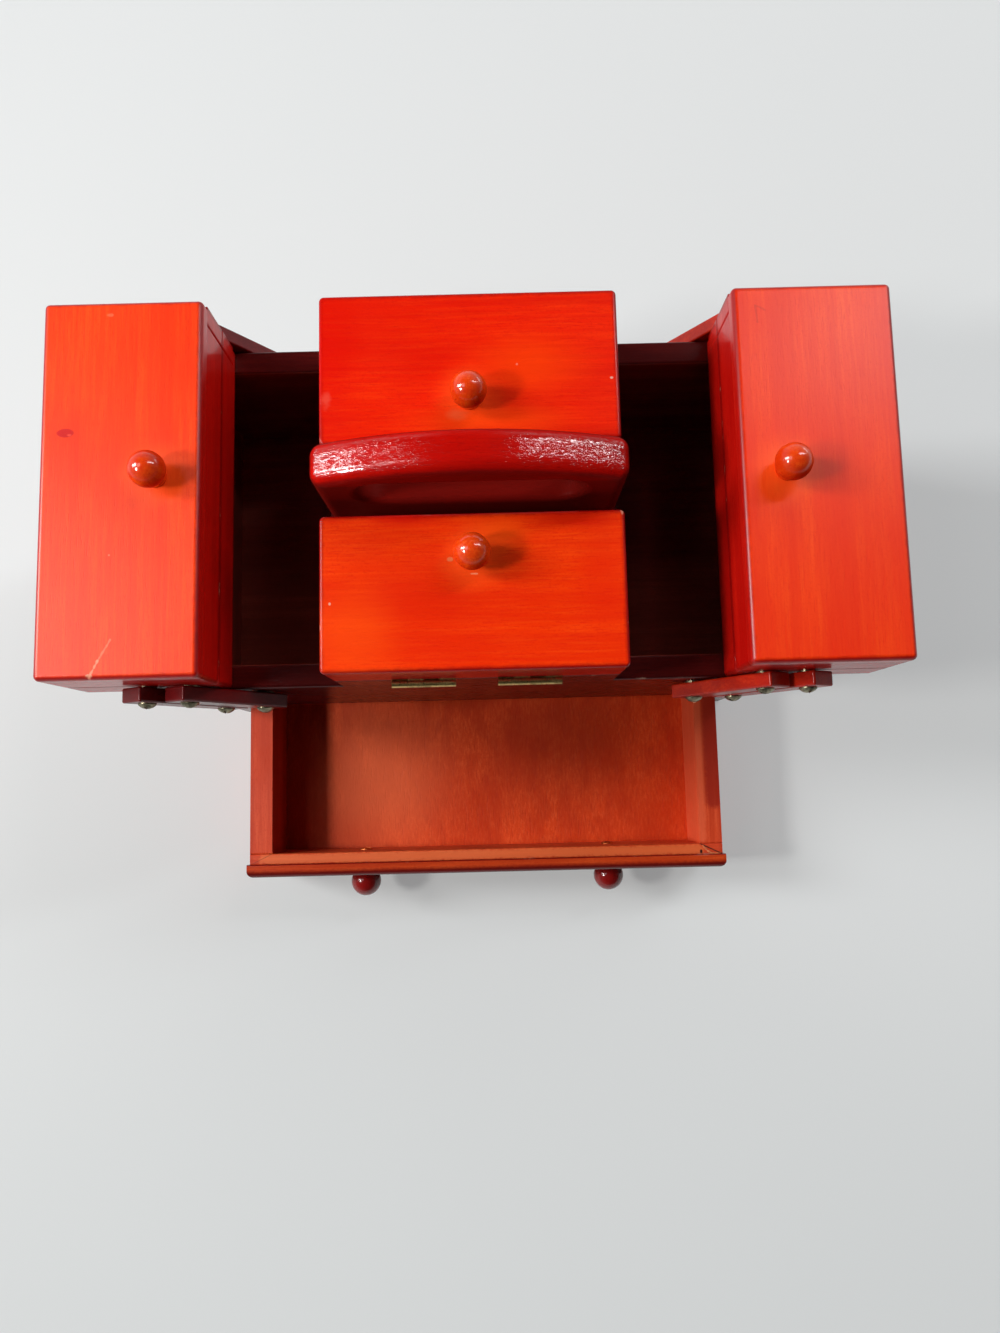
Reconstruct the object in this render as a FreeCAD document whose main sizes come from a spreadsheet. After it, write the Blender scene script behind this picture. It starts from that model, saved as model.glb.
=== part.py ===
import FreeCAD, Part
import os
import re
import Sketcher
from FreeCAD import Placement, Rotation, Vector

# An accordion sewing box, shown swung open. Millimetres. +X is the box's right side,
# -Y its front and +Z up. The origin is the middle of the base's underside.
# Two trays ride on parallel links over a case with a drawer below it, and a
# centre box with a handle board bridges the case's front and rear walls.

SIZES = {
    # Case
    "case_depth": 147.0,
    "case_margin": 10.3,
    "case_wall": 10.0,
    "rim_height": 130.0,
    "base_thickness": 8.0,
    "bay_height": 39.6,
    "floor_thickness": 5.0,
    # Rounded edges
    "corner_radius": 2.0,
    "rim_ease": 1.2,
    "edge_ease": 0.7,
    "lid_ease": 1.3,
    "tray_lid_ease": 2.2,
    "handle_crown": 5.0,
    "handle_corner": 4.0,
    "slot_ease": 2.4,
    # The three boxes above the rim
    "upper_height": 46.0,
    "upper_wall": 8.0,
    "panel_thickness": 4.0,
    "lid_depth": 26.0,
    "lid_thickness": 6.0,
    "seam_gap": 0.4,
    # Trays
    "tray_width": 61.5,
    "seat_gap": 0.4,
    "side_gap": 0.7,
    # Centre box and handle board
    "centre_width": 115.0,
    "partition_thickness": 11.0,
    "handle_thickness": 16.5,
    "handle_gap": 5.5,
    "handle_end_rise": 19.0,
    "handle_middle_rise": 32.0,
    "handle_joint_gap": 0.1,
    "slot_length": 85.0,
    "slot_drop": 4.0,
    "grip_thickness": 13.5,
    # Parallel links
    "link_run": 22.0,
    "pivot_spacing": 17.0,
    "base_pivot_drop": 17.0,
    "tray_pivot_drop": 3.8,
    "tray_pivot_inset": 12.5,
    "link_width": 11.5,
    "link_thickness": 6.0,
    "link_overhang": 7.8,
    "link_ease": 0.8,
    # Pivot screws and washers
    "screw_radius": 1.6,
    "screw_depth": 7.0,
    "screw_gap": 0.05,
    "open_pivot_gap": 0.3,
    "screw_head_radius": 3.6,
    "screw_head_height": 2.2,
    "screw_head_rim": 0.4,
    "screw_slot_width": 0.9,
    "screw_slot_depth": 0.9,
    "washer_radius": 3.6,
    "washer_thickness": 0.6,
    # Hinges
    "hinge_length": 25.4,
    "hinge_offset": 21.0,
    "tray_hinge_offset": 42.0,
    "knuckle_radius": 1.6,
    "knuckle_gap": 0.16,
    "pin_radius": 0.8,
    "pin_gap": 0.05,
    "leaf_thickness": 1.0,
    "leaf_width": 6.5,
    "leaf_gap": 0.2,
    "leaf_notch": 0.15,
    "mortise_gap": 0.1,
    # Knobs
    "lid_knob_radius": 6.9,
    "lid_knob_height": 9.0,
    "lid_knob_inset": 17.0,
    "left_knob_setback": 3.2,
    "drawer_knob_radius": 7.5,
    "drawer_knob_height": 7.7,
    "drawer_knob_offset": 62.0,
    "knob_neck_radius": 3.2,
    "knob_ring_radius": 4.4,
    "knob_ring_height": 0.6,
    "tenon_radius": 2.5,
    "tenon_gap": 0.05,
    # Drawer
    "drawer_pull": 85.5,
    "drawer_side_gap": 3.0,
    "drawer_back_gap": 0.5,
    "drawer_run_gap": 0.5,
    "drawer_top_gap": 2.6,
    "drawer_wall": 11.0,
    "drawer_floor": 4.5,
    "drawer_front": 5.2,
    "drawer_panel": 6.4,
    "panel_gap": 1.3,
    "panel_nose": 3.2,
    "frame_width": 8.5,
    "frame_rise": 3.6,
    "frame_ease": 1.2,
    "guide_gap": 0.5,
    "guide_height": 12.0,
    "guide_setback": 2.0,
}

PLACES = {
    # Case
    "case_width": "centre_width + 2 * (side_gap + tray_width + case_margin)",
    "case_inner": "case_width - 2 * case_wall",
    "case_face": "case_depth / 2",
    "bay_top": "base_thickness + bay_height",
    # Levels of the upper boxes
    "lid_top": "rim_height + upper_height",
    "seam": "lid_top - lid_depth",
    "body_top": "seam - seam_gap / 2",
    "rail_bottom": "seam + seam_gap / 2",
    "rail_height": "lid_top - lid_thickness - rail_bottom",
    "centre_wall_bottom": "rim_height + panel_thickness",
    "centre_wall_height": "body_top - centre_wall_bottom",
    "tray_bottom": "rim_height + seat_gap",
    "tray_wall_bottom": "tray_bottom + panel_thickness",
    "tray_wall_height": "body_top - tray_wall_bottom",
    # Centre box
    "centre_inner": "centre_width - 2 * upper_wall",
    "centre_lid_length": "case_face - handle_thickness / 2 - handle_gap",
    "centre_lid_middle": "case_face - centre_lid_length / 2",
    "slot_height": "handle_middle_rise - grip_thickness + slot_drop",
    # Where the links hold the trays
    "shut_edge": "centre_width / 2 + side_gap",
    "open_edge": "shut_edge + 2 * link_run",
    "tray_middle": "open_edge + tray_width / 2",
    "inner_pivot": "shut_edge + link_run + tray_pivot_inset",
    "outer_pivot": "inner_pivot + pivot_spacing",
    "pivot_height": "rim_height - base_pivot_drop",
    "link_rise": "body_top - tray_pivot_drop - pivot_height",
    "link_length": "sqrt(link_run * link_run + link_rise * link_rise)",
    # Hinges
    "knuckle_pitch": "hinge_length / 4",
    "mortise_depth": "leaf_thickness + leaf_gap / 2 - seam_gap / 2 + mortise_gap",
    # Drawer
    "drawer_width": "case_inner - 2 * drawer_side_gap",
    "panel_width": "case_inner - 2 * panel_gap",
    "drawer_length": "case_depth - case_wall - drawer_back_gap",
    "drawer_bottom": "base_thickness + drawer_run_gap",
    "drawer_height": "bay_height - drawer_run_gap - drawer_top_gap",
    "drawer_wall_bottom": "drawer_bottom + drawer_floor",
    "drawer_wall_height": "drawer_height - drawer_floor",
    "drawer_face": "case_face + drawer_pull",
    "drawer_box_face": "drawer_face - drawer_panel",
    "drawer_box_length": "drawer_length - drawer_panel",
    "drawer_back_face": "drawer_length - drawer_face",
    "drawer_side_length": "drawer_box_length - drawer_front",
    "guide_length": "case_depth - case_wall - drawer_panel - drawer_front - guide_setback",
}

# The way a piece's outer side faces: its turn about Z and its outward direction.
FACING = {
    "front": (0, 0, -1),
    "right": (90, 1, 0),
    "rear": (180, 0, 1),
    "left": (270, -1, 0),
}
SIDES = {"left": -1, "right": 1}
TINY = 0.01
# How far the first screw's slot is turned, and each following one further, in degrees.
FIRST_TURN = 25
NEXT_TURN = 65

doc = FreeCAD.newDocument("accordion_sewing_box")
nodes = []


# Sizes and formulas

def fill_sheets():
    """Put the driving sizes in one sheet and the places worked out from them in another."""
    sizes = doc.addObject("Spreadsheet::Sheet", "Sizes")
    for row, (name, size) in enumerate(SIZES.items(), start=1):
        sizes.set(f"A{row}", name)
        sizes.set(f"B{row}", str(size))
        sizes.setAlias(f"B{row}", name)
    places = doc.addObject("Spreadsheet::Sheet", "Places")
    for row, (name, formula) in enumerate(PLACES.items(), start=1):
        places.set(f"A{row}", name)
        places.set(f"B{row}", "=" + linked(formula).replace("Places.", ""))
        places.setAlias(f"B{row}", name)
    doc.recompute()


def linked(formula):
    """Write each named size in a formula together with the sheet that holds it."""
    def with_sheet(match):
        word = match.group()
        if word in SIZES:
            return "Sizes." + word
        if word in PLACES:
            return "Places." + word
        return word
    return re.sub(r"[a-z][a-z_]+", with_sheet, formula)


def value(formula):
    """Work out a formula in millimetres."""
    return float(doc.Sizes.evalExpression(linked(formula)))


def bind(thing, **formulas):
    """Tie an object's properties to formulas."""
    for name, formula in formulas.items():
        thing.setExpression(name.replace("__", "."), linked(formula))


# Sketches

def sketch_on(body, plane, offset="0"):
    """Add a sketch on one of the body's own planes, moved along the plane's normal."""
    planes = {feature.Role: feature for feature in body.Origin.OriginFeatures}
    sketch = body.newObject("Sketcher::SketchObject", body.Name + "_sketch")
    sketch.AttachmentSupport = [(planes[plane + "_Plane"], "")]
    sketch.MapMode = "FlatFace"
    bind(sketch, AttachmentOffset__Base__z=offset)
    return sketch


def hold(sketch, curve, point, x, y):
    """Hold a point of a sketch at a formula's place."""
    for kind, formula, axis in (("DistanceX", x, -2), ("DistanceY", y, -1)):
        if formula == "0":
            sketch.addConstraint(Sketcher.Constraint("PointOnObject", curve, point, axis))
            continue
        constraint = Sketcher.Constraint(kind, -1, 1, curve, point, value(formula))
        number = sketch.addConstraint(constraint)
        sketch.setExpression(f"Constraints[{number}]", linked(formula))


def hold_radius(sketch, curve, radius):
    """Hold a circle's or an arc's radius at a formula."""
    number = sketch.addConstraint(Sketcher.Constraint("Radius", curve, value(radius)))
    sketch.setExpression(f"Constraints[{number}]", linked(radius))


def add_outline(sketch, points, arc=None):
    """Close a loop through points. One side may be an arc: (side, radius, centre x, centre y)."""
    spots = [Vector(value(x), value(y), 0) for x, y in points]
    first = sketch.GeometryCount
    for side, start in enumerate(spots):
        end = spots[(side + 1) % len(spots)]
        if arc and side == arc[0]:
            sketch.addGeometry(arc_between(start, end, arc), False)
        else:
            sketch.addGeometry(Part.LineSegment(start, end), False)
    for side, (x, y) in enumerate(points):
        following = first + (side + 1) % len(points)
        joint = Sketcher.Constraint("Coincident", first + side, 2, following, 1)
        sketch.addConstraint(joint)
        hold(sketch, first + side, 1, x, y)
    if arc:
        hold_radius(sketch, first + arc[0], arc[1])


def arc_between(start, end, arc):
    """Make the counterclockwise arc from start to end about the arc's centre."""
    centre = Vector(value(arc[2]), value(arc[3]), 0)
    circle = Part.Circle(centre, Vector(0, 0, 1), value(arc[1]))
    return Part.ArcOfCircle(circle, circle.parameter(start), circle.parameter(end))


def add_rectangle(sketch, left, right, low, high):
    """Add a rectangle between two places along each of the sketch's axes."""
    add_outline(sketch, [(left, low), (right, low), (right, high), (left, high)])


def add_circle(sketch, radius, x, y):
    """Add a circle."""
    curve = sketch.addGeometry(Part.Circle(Vector(value(x), value(y), 0), Vector(0, 0, 1), value(radius)), False)
    hold_radius(sketch, curve, radius)
    hold(sketch, curve, 3, x, y)


def add_slot(sketch, length, height, low):
    """Add a lying slot with round ends, centred on the sketch's vertical axis."""
    radius = f"({height}) / 2"
    reach = f"({length}) / 2 - {radius}"
    middle = f"({low}) + {radius}"
    centres = {1: Vector(value(reach), value(middle), 0), -1: Vector(-value(reach), value(middle), 0)}
    up = Vector(0, value(radius), 0)
    top = sketch.addGeometry(Part.LineSegment(centres[1] + up, centres[-1] + up), False)
    left = sketch.addGeometry(arc_between(centres[-1] + up, centres[-1] - up,
                                          (0, radius, f"-({reach})", middle)), False)
    bottom = sketch.addGeometry(Part.LineSegment(centres[-1] - up, centres[1] - up), False)
    right = sketch.addGeometry(arc_between(centres[1] - up, centres[1] + up, (0, radius, reach, middle)), False)
    ring = [top, left, bottom, right]
    for curve, following in zip(ring, ring[1:] + ring[:1]):
        sketch.addConstraint(Sketcher.Constraint("Tangent", curve, 2, following, 1))
    sketch.addConstraint(Sketcher.Constraint("Horizontal", top))
    hold_radius(sketch, left, radius)
    hold(sketch, left, 3, f"-({reach})", middle)
    hold(sketch, right, 3, reach, middle)


# Features

def new_body(label):
    """Start a piece."""
    body = doc.addObject("PartDesign::Body", label)
    body.Label = label
    return body


def pad(body, sketch, length):
    """Raise a sketch along its normal."""
    feature = body.newObject("PartDesign::Pad", body.Name + "_pad")
    feature.Profile = sketch
    bind(feature, Length=length)
    body.Tip = feature
    doc.recompute()
    return feature


def cut(body, sketch, depth, upward=False):
    """Cut a sketch into the piece, against its normal, or along it when upward is set."""
    before = body.Shape.Volume
    feature = body.newObject("PartDesign::Pocket", body.Name + "_pocket")
    feature.Profile = sketch
    feature.Reversed = upward
    bind(feature, Length=depth)
    body.Tip = feature
    doc.recompute()
    if body.Shape.Volume > before - TINY:
        raise RuntimeError(f"{feature.Name} cuts nothing")


def turn_solid(body, sketch):
    """Revolve a half profile about the sketch's vertical axis."""
    feature = body.newObject("PartDesign::Revolution", body.Name + "_revolution")
    feature.Profile = sketch
    feature.ReferenceAxis = (sketch, ["V_Axis"])
    feature.Angle = 360.0
    body.Tip = feature
    doc.recompute()


def ease(body, radius, *rules):
    """Round the edges that meet every rule."""
    base = body.Tip
    whole = body.Shape.BoundBox
    names = []
    for number, edge in enumerate(body.Shape.Edges, start=1):
        if all(rule(edge.BoundBox, whole) for rule in rules):
            names.append(f"Edge{number}")
    feature = body.newObject("PartDesign::Fillet", body.Name + "_fillet")
    feature.Base = (base, names)
    bind(feature, Radius=radius)
    body.Tip = feature
    doc.recompute()


def on_top(edge, whole):
    return edge.ZMin > whole.ZMax - TINY


def on_bottom(edge, whole):
    return edge.ZMax < whole.ZMin + TINY


def upright(edge, whole):
    return edge.ZLength > whole.ZLength - TINY


def on_outside(edge, whole):
    return edge.YMax < whole.YMin + TINY


def on_inside(edge, whole):
    return edge.YMin > whole.YMax - TINY


def lengthwise(edge, whole):
    return edge.XLength > TINY


def everywhere(edge, whole):
    return True


# Placing pieces

def stand(piece, facing, distance, x="0", y="0", z="0", spin=0):
    """Face a piece's outer side one way, at a distance from a centre. It may spin about that way."""
    turn, out_x, out_y = FACING[facing]
    rotation = Rotation(Vector(0, 0, 1), turn).multiply(Rotation(Vector(0, 1, 0), spin))
    piece.Placement = Placement(Vector(), rotation)
    bind(piece,
         Placement__Base__x=f"{x} + {out_x} * ({distance})",
         Placement__Base__y=f"{y} + {out_y} * ({distance})",
         Placement__Base__z=z)


def keep(piece):
    """List a piece as a sub-part of its own."""
    piece.Label = piece.Name
    nodes.append(piece)
    return piece


def group(label, pieces):
    """Hold like pieces together as one sub-part of separate solids."""
    compound = doc.addObject("Part::Compound", label)
    compound.Links = pieces
    return keep(compound)


def copy_of(template, label):
    """Repeat a finished piece, which keeps its own place within the copy's."""
    link = doc.addObject("App::Link", label)
    link.LinkedObject = template
    link.LinkTransform = True
    return link


# Boards

def panel(label, width, length, thickness, x="0", y="0", z="0"):
    """A lying board with rounded corners, centred at x and y, with its underside at z."""
    body = new_body(label)
    sketch = sketch_on(body, "XY")
    add_rectangle(sketch, f"-({width}) / 2", f"({width}) / 2", f"-({length}) / 2", f"({length}) / 2")
    pad(body, sketch, thickness)
    bind(body, Placement__Base__x=x, Placement__Base__y=y, Placement__Base__z=z)
    return body


def wall(label, facing, length, thickness, height):
    """A standing board whose outer face is its local plane y = 0, before it is placed."""
    body = new_body(label)
    sketch = sketch_on(body, "XY")
    add_rectangle(sketch, f"-({length}) / 2", f"({length}) / 2", "0", thickness)
    pad(body, sketch, height)
    stand(body, facing, "0")
    return body


def drill_face(body, radius, depth, spots):
    """Drill holes into a wall's outer face at (x, z) spots."""
    sketch = sketch_on(body, "XZ")
    for x, z in spots:
        add_circle(sketch, radius, x, z)
    cut(body, sketch, depth)


def let_in(body, level, centres, upward):
    """Cut the shallow recesses that a hinge's leaves lie in, in a wall's upper or lower edge."""
    sketch = sketch_on(body, "XY", level)
    half = "hinge_length / 2 + mortise_gap"
    for centre in centres:
        add_rectangle(sketch, f"{centre} - ({half})", f"{centre} + {half}",
                      "-mortise_gap", "leaf_width + mortise_gap")
    cut(body, sketch, "mortise_depth", upward)


def ring(prefix, ending, width, length, height, x, y, z, seam_rule, names=None):
    """Four boards round a rectangle: front and rear across it, left and right between them."""
    boards = {}
    for facing in FACING:
        across = facing in ("front", "rear")
        board_length = width if across else f"{length} - 2 * upper_wall"
        name = names[facing] if names else facing
        board = wall(f"{prefix}_{name}_{ending}", facing, board_length, "upper_wall", height)
        if across:
            ease(board, "corner_radius", upright, on_outside)
        ease(board, "edge_ease", seam_rule, on_outside, lengthwise)
        reach = f"({length}) / 2" if across else f"({width}) / 2"
        stand(board, facing, reach, x, y, z)
        boards[facing] = board
    return boards


# Case

def build_case():
    """The base, four walls and floor, with the drawer's opening under the front wall."""
    base = keep(panel("base_panel", "case_width", "case_depth", "base_thickness"))
    ease(base, "corner_radius", upright)
    ease(base, "edge_ease", on_bottom)
    pivots = [(f"{sign}{pivot}", "pivot_height - {bottom}")
              for sign in ("-", "") for pivot in ("inner_pivot", "outer_pivot")]
    for facing, bottom in (("front", "bay_top"), ("rear", "base_thickness")):
        board = keep(wall(f"case_{facing}_wall", facing, "case_inner", "case_wall", f"rim_height - {bottom}"))
        ease(board, "rim_ease", on_top, lengthwise)
        if facing == "front":
            ease(board, "edge_ease", on_bottom, lengthwise)
        spots = [(x, z.format(bottom=bottom)) for x, z in pivots]
        drill_face(board, "screw_radius + screw_gap", "screw_depth + screw_gap", spots)
        stand(board, facing, "case_face", z=bottom)
    for facing in SIDES:
        board = keep(wall(f"case_{facing}_wall", facing, "case_depth", "case_wall",
                          "rim_height - base_thickness"))
        ease(board, "corner_radius", upright, on_outside)
        ease(board, "rim_ease", on_top)
        stand(board, facing, "case_width / 2", z="base_thickness")
    keep(panel("case_floor", "case_inner", "case_depth - 2 * case_wall", "floor_thickness", z="bay_top"))


# Centre box

def build_centre():
    """The bridge between the trays: bottom, four walls and two partitions."""
    bottom = keep(panel("centre_bottom", "centre_width", "case_depth", "panel_thickness", z="rim_height"))
    ease(bottom, "corner_radius", upright)
    walls = ring("centre", "wall", "centre_width", "case_depth", "centre_wall_height",
                 "0", "0", "centre_wall_bottom", on_top)
    for facing, board in walls.items():
        keep(board)
        if facing in ("front", "rear"):
            let_in(board, "centre_wall_height", ["-hinge_offset", "hinge_offset"], False)
    partitions = []
    for facing in ("front", "rear"):
        board = wall(f"{facing}_partition", facing, "centre_inner", "partition_thickness", "centre_wall_height")
        stand(board, facing, "handle_thickness / 2 + partition_thickness", z="centre_wall_bottom")
        partitions.append(board)
    group("centre_partitions", partitions)


def build_handle():
    """The middle board: a tongue between the centre's side walls, shoulders on them, and an arched top."""
    body = keep(new_body("handle_board"))
    sketch = sketch_on(body, "XZ", "-handle_thickness / 2")
    tongue = "(centre_inner / 2 - handle_joint_gap)"
    half = "centre_width / 2"
    end = "lid_top + handle_end_rise"
    arch = "(handle_middle_rise - handle_end_rise)"
    radius = f"({half} * {half} + {arch} * {arch}) / (2 * {arch})"
    outline = [
        (f"-{tongue}", "centre_wall_bottom"),
        (tongue, "centre_wall_bottom"),
        (tongue, "body_top"),
        (half, "body_top"),
        (half, end),
        (f"-{half}", end),
        (f"-{half}", "body_top"),
        (f"-{tongue}", "body_top"),
    ]
    arch_side = outline.index((half, end))
    add_outline(sketch, outline, (arch_side, radius, "0", f"lid_top + handle_middle_rise - {radius}"))
    add_slot(sketch, "slot_length", "slot_height", "lid_top - slot_drop")
    pad(body, sketch, "handle_thickness")
    ease(body, "handle_corner", on_upper_corner)
    ease(body, "handle_crown", on_board_face, on_grip_outline)
    ease(body, "slot_ease", on_board_face, on_slot_rim)


def on_upper_corner(edge, whole):
    """The two corners where the board's ends meet its arched top."""
    return edge.YLength > TINY and abs(edge.ZMin - value("lid_top + handle_end_rise")) < TINY


def on_board_face(edge, whole):
    """The edges of the board's two faces above its shoulders."""
    return edge.YLength < TINY and edge.ZMax > value("body_top") + TINY


def on_grip_outline(edge, whole):
    return max(-edge.XMin, edge.XMax) > value("slot_length / 2") + TINY


def on_slot_rim(edge, whole):
    return not on_grip_outline(edge, whole)


# Lids

def build_lid(name, width, length, x, y, top_ease, hinge_side, hinge_centres, knob_x, knob_y):
    """A deep lid: a top board on a frame of four rails, with the hinge recesses and a knob."""
    top = keep(panel(f"{name}_lid_top", width, length, "lid_thickness", x, y, "lid_top - lid_thickness"))
    ease(top, "corner_radius", upright)
    ease(top, top_ease, on_top)
    sketch = sketch_on(top, "XY", "lid_thickness")
    add_circle(sketch, "tenon_radius + tenon_gap", knob_x, knob_y)
    cut(top, sketch, "lid_thickness")
    rails = ring(f"{name}_lid", "rail", width, length, "rail_height", x, y, "rail_bottom", on_bottom)
    let_in(rails[hinge_side], "0", hinge_centres, True)
    group(f"{name}_lid_frame", list(rails.values()))
    knob = keep(build_knob(f"{name}_lid_knob", "lid_knob_radius", "lid_knob_height", "lid_thickness"))
    bind(knob, Placement__Base__x=f"{x} + {knob_x}", Placement__Base__y=f"{y} + {knob_y}",
         Placement__Base__z="lid_top")


def build_knob(label, radius, height, tenon):
    """A turned ball on a short neck with a base ring and a tenon, standing on its plane z = 0."""
    body = new_body(label)
    sketch = sketch_on(body, "XZ")
    neck_top = f"{height} - sqrt({radius} * {radius} - knob_neck_radius * knob_neck_radius)"
    outline = [
        ("0", f"-({tenon})"),
        ("tenon_radius", f"-({tenon})"),
        ("tenon_radius", "0"),
        ("knob_ring_radius", "0"),
        ("knob_ring_radius", "knob_ring_height"),
        ("knob_neck_radius", "knob_ring_height"),
        ("knob_neck_radius", neck_top),
        ("0", f"{height} + {radius}"),
    ]
    ball_side = outline.index(("knob_neck_radius", neck_top))
    add_outline(sketch, outline, (ball_side, radius, "0", height))
    turn_solid(body, sketch)
    return body


def build_lids():
    """The two lids of the centre box and the two of the trays."""
    centre_hinges = ["-hinge_offset", "hinge_offset"]
    for name, sign in (("front", "-"), ("rear", "")):
        inward = "" if sign else "-"
        knob_y = f"{inward}(centre_lid_length / 2 - lid_knob_inset)"
        build_lid(name, "centre_width", "centre_lid_length", "0", f"{sign}centre_lid_middle",
                  "lid_ease", name, centre_hinges, "0", knob_y)
    tray_hinges = ["-tray_hinge_offset", "tray_hinge_offset"]
    for name, side in SIDES.items():
        knob_x = f"{-side} * (tray_width / 2 - lid_knob_inset)"
        knob_y = "left_knob_setback" if name == "left" else "0"
        build_lid(name, "tray_width", "case_depth", f"{side} * tray_middle", "0",
                  "tray_lid_ease", name, tray_hinges, knob_x, knob_y)


# Trays

def build_trays():
    """The two trays, each a bottom and four walls, with the link screws in the front and rear walls."""
    for name, side in SIDES.items():
        x = f"{side} * tray_middle"
        bottom = keep(panel(f"{name}_tray_bottom", "tray_width", "case_depth", "panel_thickness",
                            x, "0", "tray_bottom"))
        ease(bottom, "corner_radius", upright)
        ease(bottom, "edge_ease", on_bottom)
        names = {"front": "front", "rear": "rear", "left": "inner", "right": "inner"}
        names[name] = "outer"
        walls = ring(f"{name}_tray", "wall", "tray_width", "case_depth", "tray_wall_height",
                     x, "0", "tray_wall_bottom", on_top, names)
        for facing, board in walls.items():
            keep(board)
            if facing in ("front", "rear"):
                inward = -side if facing == "front" else side
                drill_tray_wall(board, inward)
        let_in(walls[name], "tray_wall_height", ["-tray_hinge_offset", "tray_hinge_offset"], False)


def drill_tray_wall(board, inward):
    """Drill a tray wall for its two link screws, set in from the tray's inner edge."""
    first = f"{inward} * (tray_width / 2 - tray_pivot_inset)"
    second = f"{inward} * (tray_width / 2 - tray_pivot_inset - pivot_spacing)"
    level = "pivot_height + link_rise - tray_wall_bottom"
    drill_face(board, "screw_radius + screw_gap", "screw_depth + screw_gap", [(first, level), (second, level)])


# Links and their screws

def build_link(label, facing, side, pivot, tray_gap):
    """One link, from its screw in the case to its screw in the tray, leaning outward."""
    body = new_body(label)
    sketch = sketch_on(body, "XZ", "washer_thickness")
    lean = side if facing == "front" else -side
    corners = []
    for along, across in (("-link_overhang", -1), ("-link_overhang", 1),
                          ("link_length + link_overhang", 1), ("link_length + link_overhang", -1)):
        x = f"{lean} * {pivot} + {lean} * ({along}) * link_run / link_length"
        z = f"pivot_height + ({along}) * link_rise / link_length"
        corners.append((f"{x} + {across} * link_width / 2 * link_rise / link_length",
                        f"{z} - {lean * across} * link_width / 2 * link_run / link_length"))
    add_outline(sketch, corners)
    pad(body, sketch, "link_thickness")
    ease(body, "link_ease", everywhere)
    drill_link(body, "screw_radius + screw_gap", f"{lean} * {pivot}", "pivot_height")
    drill_link(body, f"screw_radius + {tray_gap}", f"{lean} * ({pivot} + link_run)", "pivot_height + link_rise")
    stand(body, facing, "case_face")
    return body


def drill_link(body, radius, x, z):
    """Drill one pivot hole through a link."""
    sketch = sketch_on(body, "XZ", "washer_thickness + link_thickness")
    add_circle(sketch, radius, x, z)
    cut(body, sketch, "link_thickness")


def build_links():
    """An inner and an outer link at the front and the rear of each tray."""
    for name, side in SIDES.items():
        for place, gap in (("inner", "screw_gap"), ("outer", "open_pivot_gap")):
            pair = [build_link(f"{name}_{facing}_{place}_link", facing, side, f"{place}_pivot", gap)
                    for facing in ("front", "rear")]
            group(f"{name}_{place}_links", pair)


def screw_template():
    """A domed slotted screw along the local Y axis, with the wood's face at y = 0."""
    body = new_body("pivot_screw")
    sketch = sketch_on(body, "XY")
    seat = "-(washer_thickness + link_thickness)"
    rise = "(screw_head_height - screw_head_rim)"
    radius = f"(screw_head_radius * screw_head_radius + {rise} * {rise}) / (2 * {rise})"
    tip = ("0", f"{seat} - screw_head_height")
    outline = [
        ("0", "screw_depth"),
        tip,
        ("screw_head_radius", f"{seat} - screw_head_rim"),
        ("screw_head_radius", seat),
        ("screw_radius", seat),
        ("screw_radius", "screw_depth"),
    ]
    add_outline(sketch, outline, (outline.index(tip), radius, "0", f"{seat} - screw_head_height + {radius}"))
    turn_solid(body, sketch)
    slot = sketch_on(body, "XZ", "washer_thickness + link_thickness + screw_head_height")
    add_rectangle(slot, "-screw_head_radius", "screw_head_radius",
                  "-screw_slot_width / 2", "screw_slot_width / 2")
    cut(body, slot, "screw_slot_depth")
    return body


def washer_template():
    """A flat washer between the wood's face at y = 0 and the link."""
    body = new_body("pivot_washer")
    sketch = sketch_on(body, "XZ")
    add_circle(sketch, "washer_radius", "0", "0")
    add_circle(sketch, "screw_radius + screw_gap", "0", "0")
    pad(body, sketch, "washer_thickness")
    return body


def build_pivots():
    """The screws and washers: eight in the case's walls, and four in each tray."""
    templates = {"screw": screw_template(), "washer": washer_template()}
    case_spots = []
    for name, side in SIDES.items():
        tray_spots = []
        for place in ("inner_pivot", "outer_pivot"):
            case_spots.append((f"{side} * {place}", "pivot_height"))
            tray_spots.append((f"{side} * ({place} + link_run)", "pivot_height + link_rise"))
        fasten(f"{name}_tray_pivot_screws", tray_spots, templates)
    fasten("case_pivot_screws", case_spots, templates)


def fasten(label, spots, templates):
    """Put a screw and a washer at each spot, at the front and the rear."""
    pieces = []
    spin = FIRST_TURN
    for facing in ("front", "rear"):
        for x, z in spots:
            for kind, template in templates.items():
                piece = copy_of(template, f"{label}_{kind}")
                stand(piece, facing, "case_face", x, "0", z, spin)
                pieces.append(piece)
            spin += NEXT_TURN
    group(label, pieces)


# Hinges

def block(label, x, y, z, length, width, height):
    """A plain block from its lowest corner."""
    box = doc.addObject("Part::Box", label)
    bind(box, Length=length, Width=width, Height=height,
         Placement__Base__x=x, Placement__Base__y=y, Placement__Base__z=z)
    return box


def rod(label, radius, x, length):
    """A rod on the hinge's axis, which runs along local X just outside the wall's face."""
    cylinder = doc.addObject("Part::Cylinder", label)
    cylinder.Placement = Placement(Vector(), Rotation(Vector(0, 1, 0), 90))
    bind(cylinder, Radius=radius, Height=length,
         Placement__Base__x=x, Placement__Base__y="-knuckle_radius")
    return cylinder


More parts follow.
